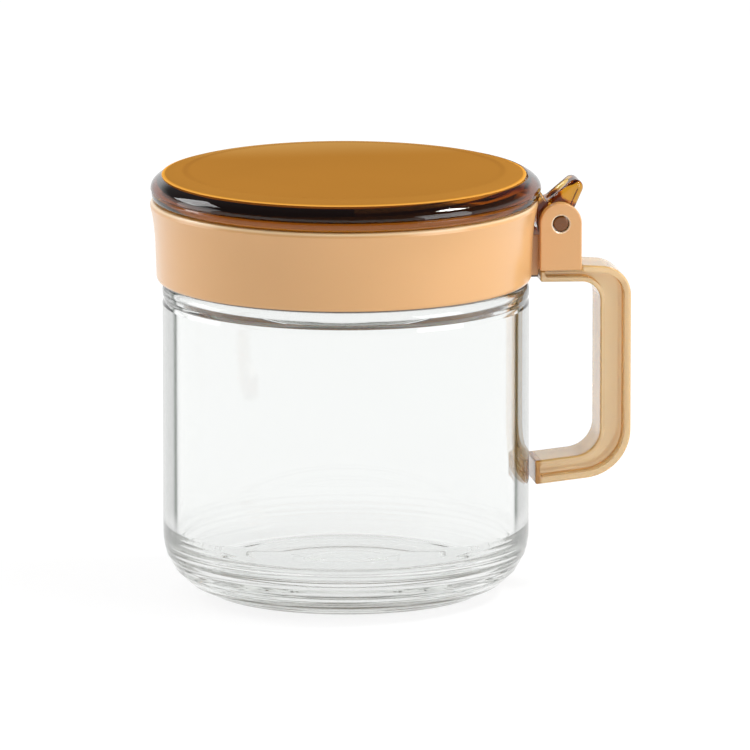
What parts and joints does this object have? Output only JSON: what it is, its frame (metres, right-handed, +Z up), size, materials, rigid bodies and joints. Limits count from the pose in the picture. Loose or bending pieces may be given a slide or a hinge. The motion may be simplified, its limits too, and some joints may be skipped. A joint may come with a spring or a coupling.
{
  "type": "storage jar",
  "caption": "Glass storage jar with a screw collar that carries an open handle and a flip lid worked by a thumb lever.",
  "frame": {"origin": "on the axis of the glass body, in the plane the jar stands on", "axes": "+Z up along the axis of the glass body, +X from the axis towards the handle and the hinge, +Y to the left of a person who looks along +X"},
  "size_m": [0.1314, 0.1064, 0.1165],
  "materials": {
    "clear_glass": "clear, gloss",
    "gasket_silicone": "matt silicone",
    "peach_plastic": "gloss",
    "champagne_plastic": "gloss, slightly translucent",
    "brown_plastic": "satin",
    "amber_plastic": "high gloss, slightly translucent",
    "seal_silicone": "matt silicone"
  },
  "bodies": {
    "jar": {"glass_jar": "clear_glass"},
    "neck_ring": {"neck_gasket": "gasket_silicone"},
    "collar_set": {"collar": "peach_plastic", "handle": "champagne_plastic", "hinge_pin": "brown_plastic"},
    "lid_set": {"lid": "amber_plastic", "lid_seal": "seal_silicone"}
  },
  "joints": [
    {"name": "collar_rise", "type": "slide", "parent": "jar", "child": "neck_ring", "axis": [0, 0, 1], "range_m": [0, 0.0034]},
    {"name": "collar_twist", "type": "hinge", "parent": "neck_ring", "child": "collar_set", "pos_m": [0, 0, 0.0923], "axis": [0, 0, 1], "range_deg": [0, 100]},
    {"name": "lid_hinge", "type": "hinge", "parent": "collar_set", "child": "lid_set", "pos_m": [0.05805, 0, 0.1014], "axis": [0, 1, 0], "range_deg": [0, 90]}
  ],
  "couplings": [
    {"joint": "collar_rise", "follows": "collar_twist", "m_per_rad": 0.0019099}
  ]
}
